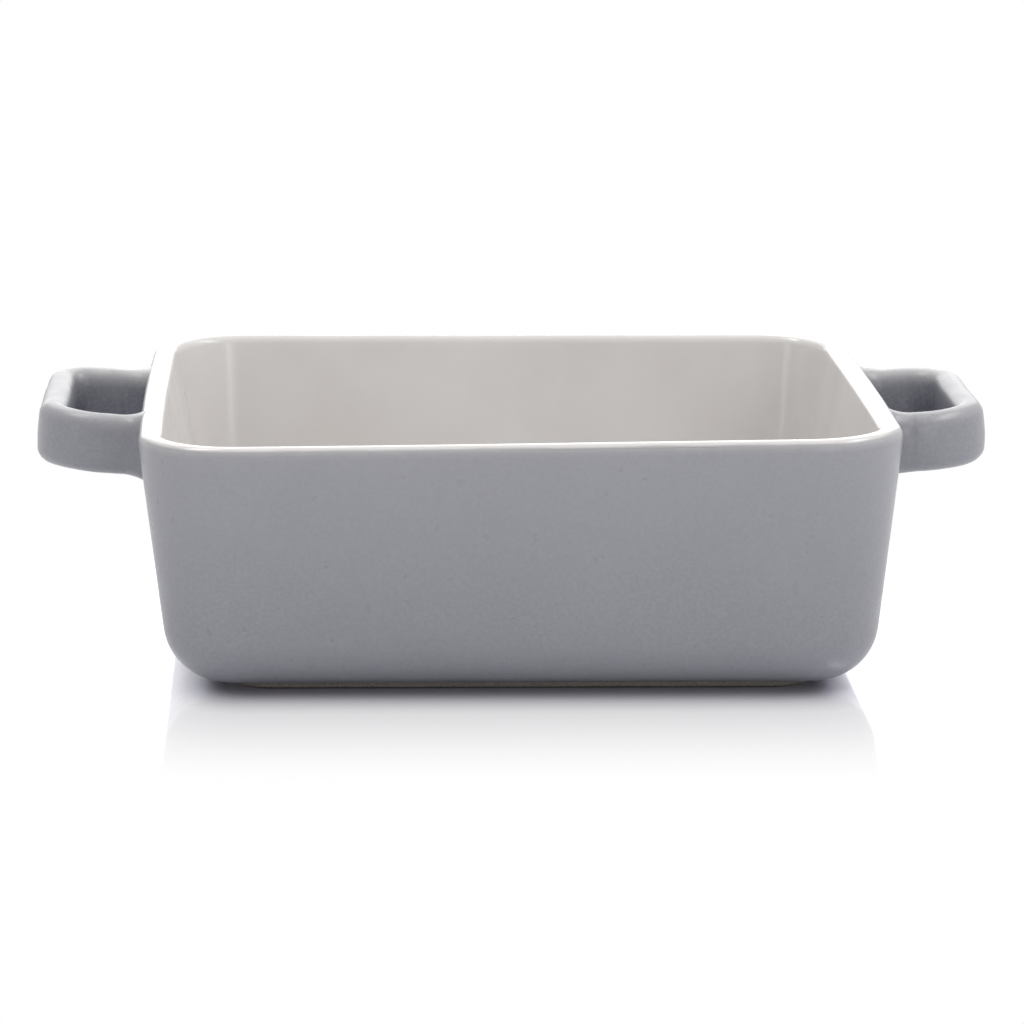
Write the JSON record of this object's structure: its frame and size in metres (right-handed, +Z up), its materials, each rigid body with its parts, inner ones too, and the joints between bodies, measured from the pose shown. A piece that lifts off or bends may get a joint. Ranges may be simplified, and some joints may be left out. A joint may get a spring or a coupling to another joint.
{
  "type": "baking dish",
  "caption": "Deep rounded rectangular stoneware baking dish with a loop handle on each short side, grey glazed outside and white glazed inside.",
  "frame": {"origin": "middle of the foot ring on the surface that the dish stands on", "axes": "+X along the long side from the left handle to the right handle, +Y from front to back, +Z up out of the open top"},
  "size_m": [0.2714, 0.19, 0.073],
  "materials": {
    "fired_clay": "matte",
    "bare_foot": "matte",
    "white_glaze": "gloss",
    "grey_glaze": "satin"
  },
  "bodies": {
    "root": {"stoneware_body": "fired_clay", "foot_ring": "bare_foot", "left_handle": "fired_clay", "right_handle": "fired_clay", "inner_glaze": "white_glaze", "outer_glaze": "grey_glaze", "underside_glaze": "grey_glaze", "left_handle_glaze": "grey_glaze", "right_handle_glaze": "grey_glaze"}
  },
  "joints": []
}
